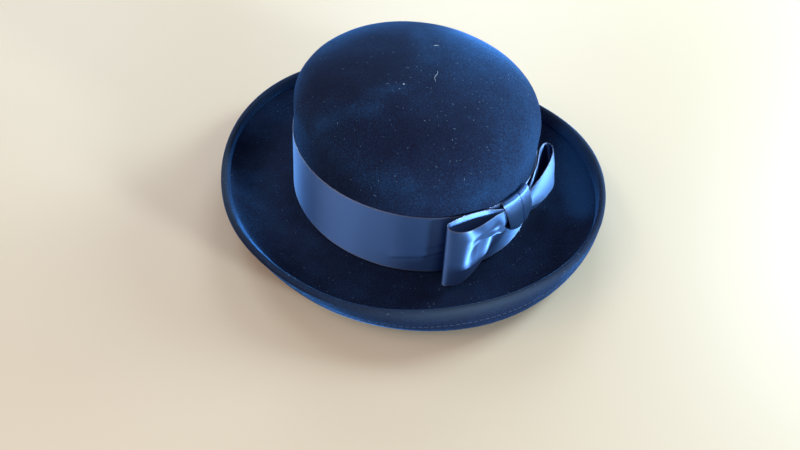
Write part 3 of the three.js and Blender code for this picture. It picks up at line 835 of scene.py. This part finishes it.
def felt_material():
    """Velour felt: a dark ground under a short pile that lights up where it is seen edge on."""
    material, shader = new_material("navy_felt")
    links = material.node_tree.links
    spot = material.node_tree.nodes.new("ShaderNodeTexCoord")
    mottle = add_node(material, "ShaderNodeTexNoise", Scale=60.0, Detail=4.0, Roughness=0.6)
    pile = add_node(material, "ShaderNodeTexNoise", Scale=900.0, Detail=4.0, Roughness=0.75)
    for texture in (mottle, pile):
        links.new(spot.outputs["Object"], texture.inputs["Vector"])
    # The felt's colour mixes the painted light and shade strokes with random mottling and the pile's grain.
    nap_and_painted_light = material.node_tree.nodes.new("ShaderNodeAttribute")
    nap_and_painted_light.attribute_name = "nap_and_painted_light"
    weights = (
        (nap_and_painted_light.outputs["Fac"], NAP_AND_PAINTED_LIGHT_SHARE),
        (mottle.outputs["Fac"], MOTTLE_SHARE),
        (pile.outputs["Fac"], PILE_SHARE),
    )
    total = None
    for output, weight in weights:
        part = add_node(material, "ShaderNodeMath")
        part.operation = "MULTIPLY_ADD"
        links.new(output, part.inputs[0])
        part.inputs[1].default_value = weight
        part.inputs[2].default_value = 0.0
        if total is not None:
            links.new(total, part.inputs[2])
        total = part.outputs[0]
    ramp = material.node_tree.nodes.new("ShaderNodeValToRGB")
    ramp.color_ramp.elements[0].position = 0.24
    ramp.color_ramp.elements[0].color = FELT_GROUND
    ramp.color_ramp.elements[1].position = 0.66
    ramp.color_ramp.elements[1].color = FELT_PILE
    middle = ramp.color_ramp.elements.new(0.42)
    middle.color = FELT_MIDDLE
    links.new(total, ramp.inputs["Fac"])
    # Paler, greyer felt along the brim's edge: painted bounce light from the floor.
    edge_bounce_light = material.node_tree.nodes.new("ShaderNodeAttribute")
    edge_bounce_light.attribute_name = "edge_bounce_light"
    bounce_mix = material.node_tree.nodes.new("ShaderNodeMix")
    bounce_mix.data_type = "RGBA"
    bounce_mix.inputs["B"].default_value = FELT_PAINTED_BOUNCE
    links.new(edge_bounce_light.outputs["Fac"], bounce_mix.inputs["Factor"])
    links.new(ramp.outputs["Color"], bounce_mix.inputs["A"])
    links.new(bounce_mix.outputs["Result"], shader.inputs["Base Color"])
    bump = add_node(material, "ShaderNodeBump", Strength=0.55, Distance=0.0006)
    links.new(pile.outputs["Fac"], bump.inputs["Height"])
    links.new(bump.outputs["Normal"], shader.inputs["Normal"])
    shader.inputs["Roughness"].default_value = 0.95
    shader.inputs["Specular IOR Level"].default_value = 0.03
    shader.inputs["Sheen Weight"].default_value = 1.0
    shader.inputs["Sheen Roughness"].default_value = 0.24
    shader.inputs["Sheen Tint"].default_value = FELT_SHEEN
    return material


def satin_material():
    """Satin ribbon: its threads run along it, so that light spreads across it."""
    material, shader = new_material("blue_satin")
    links = material.node_tree.links
    uv = material.node_tree.nodes.new("ShaderNodeUVMap")
    uv.uv_map = "ribbon"
    split = material.node_tree.nodes.new("ShaderNodeSeparateXYZ")
    links.new(uv.outputs["UV"], split.inputs[0])
    edge = material.node_tree.nodes.new("ShaderNodeMath")
    edge.operation = "PINGPONG"
    edge.inputs[1].default_value = 0.5
    links.new(split.outputs["Y"], edge.inputs[0])
    selvedge = material.node_tree.nodes.new("ShaderNodeValToRGB")
    selvedge.color_ramp.elements[0].position = 0.010
    selvedge.color_ramp.elements[0].color = SATIN_EDGE
    selvedge.color_ramp.elements[1].position = 0.024
    selvedge.color_ramp.elements[1].color = SATIN_FACE
    links.new(edge.outputs[0], selvedge.inputs["Fac"])
    links.new(selvedge.outputs["Color"], shader.inputs["Base Color"])
    weave = add_node(material, "ShaderNodeTexNoise", Scale=1.0, Detail=3.0)
    stretch = material.node_tree.nodes.new("ShaderNodeMapping")
    stretch.inputs["Scale"].default_value = (60.0, 170.0, 1.0)
    links.new(uv.outputs["UV"], stretch.inputs["Vector"])
    links.new(stretch.outputs[0], weave.inputs["Vector"])
    bump = add_node(material, "ShaderNodeBump", Strength=0.10, Distance=0.0002)
    links.new(weave.outputs["Fac"], bump.inputs["Height"])
    links.new(bump.outputs["Normal"], shader.inputs["Normal"])
    thread = material.node_tree.nodes.new("ShaderNodeTangent")
    thread.direction_type = "UV_MAP"
    thread.uv_map = "ribbon"
    links.new(thread.outputs[0], shader.inputs["Tangent"])
    shader.inputs["Roughness"].default_value = 0.60
    shader.inputs["Anisotropic"].default_value = 1.0
    shader.inputs["Anisotropic Rotation"].default_value = 0.25
    shader.inputs["Metallic"].default_value = 0.90
    shader.inputs["Specular IOR Level"].default_value = 0.6
    return material


def floor_material():
    material, shader = new_material("floor")
    shader.inputs["Base Color"].default_value = FLOOR_COLOUR
    shader.inputs["Roughness"].default_value = 0.55
    return material


def floor():
    half = FLOOR_HALF_SIZE
    mesh = bpy.data.meshes.new("floor")
    corners = [(-half, -half, 0), (half, -half, 0), (half, half, 0), (-half, half, 0)]
    mesh.from_pydata(corners, [], [(0, 1, 2, 3)])
    made = bpy.data.objects.new("floor", mesh)
    bpy.context.scene.collection.objects.link(made)
    mesh.materials.append(floor_material())


def window(name, spot, target, size, power, colour):
    """A soft rectangular light at a place, aimed at a target."""
    data = bpy.data.lights.new(name, "AREA")
    data.shape = "RECTANGLE"
    data.size, data.size_y = size
    data.energy = power
    data.color = colour
    made = bpy.data.objects.new(name, data)
    made.location = spot
    made.rotation_euler = (Vector(target) - Vector(spot)).to_track_quat("-Z", "Y").to_euler()
    bpy.context.scene.collection.objects.link(made)


def towards(azimuth, elevation, distance):
    """A place at an azimuth clockwise from +Y, an elevation and a distance from the hat."""
    turn, rise = math.radians(azimuth), math.radians(elevation)
    return (distance * math.sin(turn) * math.cos(rise), distance * math.cos(turn) * math.cos(rise),
            distance * math.sin(rise) + AIM_HEIGHT)


def lighting():
    """Soft windows round the room, and even room light."""
    middle = (0, 0, AIM_HEIGHT)
    for row in WINDOWS:
        spot = towards(row["azimuth"], row["elevation"], row["distance"])
        window(row["name"], spot, middle, row["size"], row["power"], row["colour"])
    world = bpy.data.worlds.new("room")
    world.use_nodes = True
    world.node_tree.nodes["Background"].inputs["Color"].default_value = ROOM_COLOUR
    world.node_tree.nodes["Background"].inputs["Strength"].default_value = ROOM_STRENGTH
    bpy.context.scene.world = world


def camera():
    data = bpy.data.cameras.new("camera")
    data.lens = CAMERA_LENS
    data.sensor_width = 36.0
    made = bpy.data.objects.new("camera", data)
    bpy.context.scene.collection.objects.link(made)
    turn = Matrix.Rotation(math.radians(CAMERA_TURN), 4, "Z")
    tilt = Matrix.Rotation(math.radians(90 - CAMERA_PITCH), 4, "X")
    roll = Matrix.Rotation(math.radians(CAMERA_ROLL), 4, "Z")
    spot = CAMERA_PLACE * MM + Vector((HEAD_X, HEAD_Y, 0))
    made.matrix_world = Matrix.Translation(spot) @ turn @ tilt @ roll
    bpy.context.scene.camera = made


camera()
felt = felt_material()
satin = satin_material()
pieces = [
    felt_body(felt),
    ribbon_band(satin),
    bow_loop("satin_loop_left", "bow_loop_left", LEFT_LOOP, -1, satin),
    bow_loop("satin_loop_right", "bow_loop_right", RIGHT_LOOP, 1, satin),
    bow_knot(satin),
]
pieces.append(hem_stitches(plain_material("thread", THREAD_COLOUR, 0.8)))
pieces += lint(pieces[0], (plain_material("speck", SPECK_COLOUR, 0.9),
                           plain_material("hair", HAIR_COLOUR, 0.9)))
for piece in pieces:
    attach(piece, "root")
floor()
lighting()
bpy.context.scene.view_settings.view_transform = "Standard"
